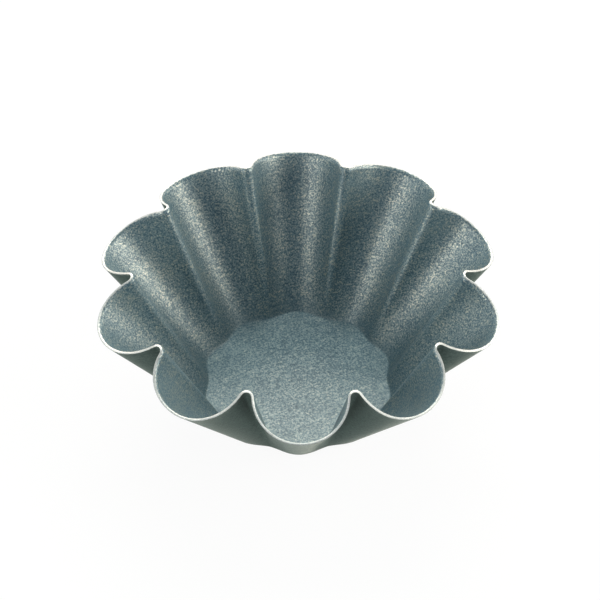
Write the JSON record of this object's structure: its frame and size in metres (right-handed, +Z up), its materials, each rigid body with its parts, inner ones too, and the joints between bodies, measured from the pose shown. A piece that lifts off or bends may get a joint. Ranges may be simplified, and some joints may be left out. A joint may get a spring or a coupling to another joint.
{
  "type": "brioche mould",
  "caption": "Small fluted brioche mould of thin pressed steel sheet: flat base, flared scalloped wall, trimmed wavy rim, speckled non-stick inside, dark satin outside.",
  "frame": {"origin": "centre of the underside of the base, on the surface that the mould stands on", "axes": "+Z up along the axis of the flutes, -Y towards the flute that faces the viewer in the picture, +X to its right"},
  "size_m": [0.077, 0.08, 0.0307],
  "materials": {
    "bare_steel": "bright sheared edge",
    "speckled_coating": "fine speckled semi-gloss non-stick coating",
    "satin_lacquer": "smooth satin"
  },
  "bodies": {
    "root": {"steel_shell": "bare_steel", "inside_coating": "speckled_coating", "outside_coating": "satin_lacquer"}
  },
  "joints": []
}
